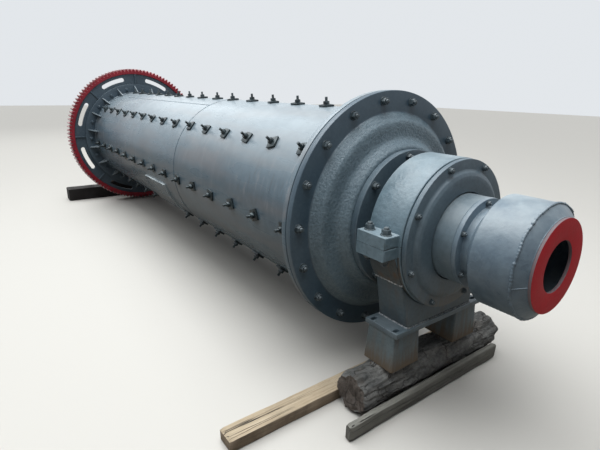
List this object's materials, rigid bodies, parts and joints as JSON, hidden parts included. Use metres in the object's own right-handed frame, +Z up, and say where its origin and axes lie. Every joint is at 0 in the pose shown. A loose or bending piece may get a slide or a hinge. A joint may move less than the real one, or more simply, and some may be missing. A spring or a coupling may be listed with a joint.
{
  "type": "ball mill",
  "caption": "Grinding drum of steel plate on two end bearings, with a girth gear, coned heads, a drum feeder and timber blocking under it.",
  "frame": {"origin": "on the ground, on the flat underside of the log, below the mill axis and the middle of the near bearing", "axes": "+X along the mill axis towards the feeder, +Z up, -Y the flank with the long end of the rear timber"},
  "size_m": [6.748, 2.215, 1.904],
  "materials": {
    "log_wood": "weathered bark-free log, sawn end",
    "grey_timber": "weathered grey sawn timber",
    "pale_timber": "dry pale sawn timber with long splits",
    "dark_timber": "oil-blackened sawn timber",
    "rusty_paint": "grey-blue paint with rust-brown runs",
    "machine_paint": "grey-blue machine paint over castings",
    "casting_paint": "dark grey-blue paint on machined faces",
    "head_casting": "grey-blue paint over rough casting",
    "shell_paint": "satin grey-blue paint on rolled plate",
    "feeder_paint": "satin grey-blue paint on rolled plate",
    "bearing_steel": "ground steel",
    "journal_steel": "grey-blue paint, bright in the bearing",
    "gear_red": "dark crimson paint, bare worn tooth tips",
    "ring_red": "dull crimson paint"
  },
  "bodies": {
    "stand": {"log": "log_wood", "front_chock": "grey_timber", "rear_chock": "pale_timber", "far_beam": "dark_timber", "far_packer": "dark_timber", "near_feet": "rusty_paint", "near_base_plate": "machine_paint", "near_pedestal": "machine_paint", "near_housing_base": "machine_paint", "near_housing_cap": "machine_paint", "near_bearing": "bearing_steel", "near_outer_cover": "casting_paint", "near_inner_cover": "casting_paint", "far_feet": "rusty_paint", "far_base_plate": "machine_paint", "far_pedestal": "machine_paint", "far_housing_base": "machine_paint", "far_housing_cap": "machine_paint", "far_bearing": "bearing_steel", "far_outer_cover": "casting_paint", "far_inner_cover": "casting_paint"},
    "drum": {"shell": "shell_paint", "near_shell_flange": "shell_paint", "far_shell_flange": "casting_paint", "shell_gussets": "casting_paint", "manhole_frame": "shell_paint", "manhole_cover": "shell_paint", "near_head": "head_casting", "far_head": "head_casting", "near_trunnion": "journal_steel", "far_trunnion": "journal_steel", "gear_rim": "gear_red", "gear_web": "casting_paint", "gear_ribs": "casting_paint", "feeder_neck": "feeder_paint", "feeder_drum": "feeder_paint", "feeder_cone": "feeder_paint", "feeder_ring": "ring_red"}
  },
  "joints": [
    {"name": "drum_spin", "type": "hinge", "parent": "stand", "child": "drum", "pos_m": [0, 0, 0.96], "axis": [1, 0, 0], "continuous": true}
  ]
}
